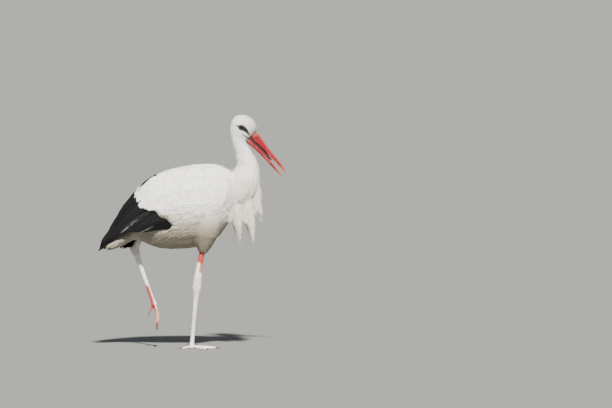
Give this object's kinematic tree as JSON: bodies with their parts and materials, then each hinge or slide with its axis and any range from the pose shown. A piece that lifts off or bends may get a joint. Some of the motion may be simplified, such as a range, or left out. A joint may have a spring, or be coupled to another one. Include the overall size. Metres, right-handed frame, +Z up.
{
  "type": "white stork model",
  "caption": "Still, life-size white stork in mid stride: standing on its right foot, left foot lifted, wings folded, red bill slightly open.",
  "frame": {"origin": "middle of the sole of the right foot, on which the bird stands, at floor level", "axes": "+X the way the bird faces, +Y its left side, +Z up"},
  "size_m": [0.6443, 0.2094, 0.7965],
  "materials": {
    "white_feather": "soft white contour feathers with creamy streaks",
    "black_feather": "black flight feathers with a faint gloss and grey edges",
    "bill": "red horn, satin, paler at the tip",
    "shank": "red scaled skin under a chalky white coating",
    "claw": "dull brown horn",
    "eye": "wet, dark brown to black"
  },
  "bodies": {
    "root": {"trunk": "white_feather", "tail": "white_feather", "neck_lower": "white_feather", "neck_upper": "white_feather", "head": "white_feather", "upper_bill": "bill", "lower_bill": "bill", "wing_right": "white_feather", "flight_feathers_right": "black_feather", "eye_right": "eye", "thigh_right": "white_feather", "tibia_right": "shank", "tarsus_right": "shank", "toe_right_middle": "shank", "claw_right_middle": "claw", "toe_right_inner": "shank", "claw_right_inner": "claw", "toe_right_outer": "shank", "claw_right_outer": "claw", "toe_right_hind": "shank", "claw_right_hind": "claw", "wing_left": "white_feather", "flight_feathers_left": "black_feather", "eye_left": "eye", "thigh_left": "white_feather", "tibia_left": "shank", "tarsus_left": "shank", "toe_left_middle": "shank", "claw_left_middle": "claw", "toe_left_inner": "shank", "claw_left_inner": "claw", "toe_left_outer": "shank", "claw_left_outer": "claw", "toe_left_hind": "shank", "claw_left_hind": "claw"}
  },
  "joints": []
}
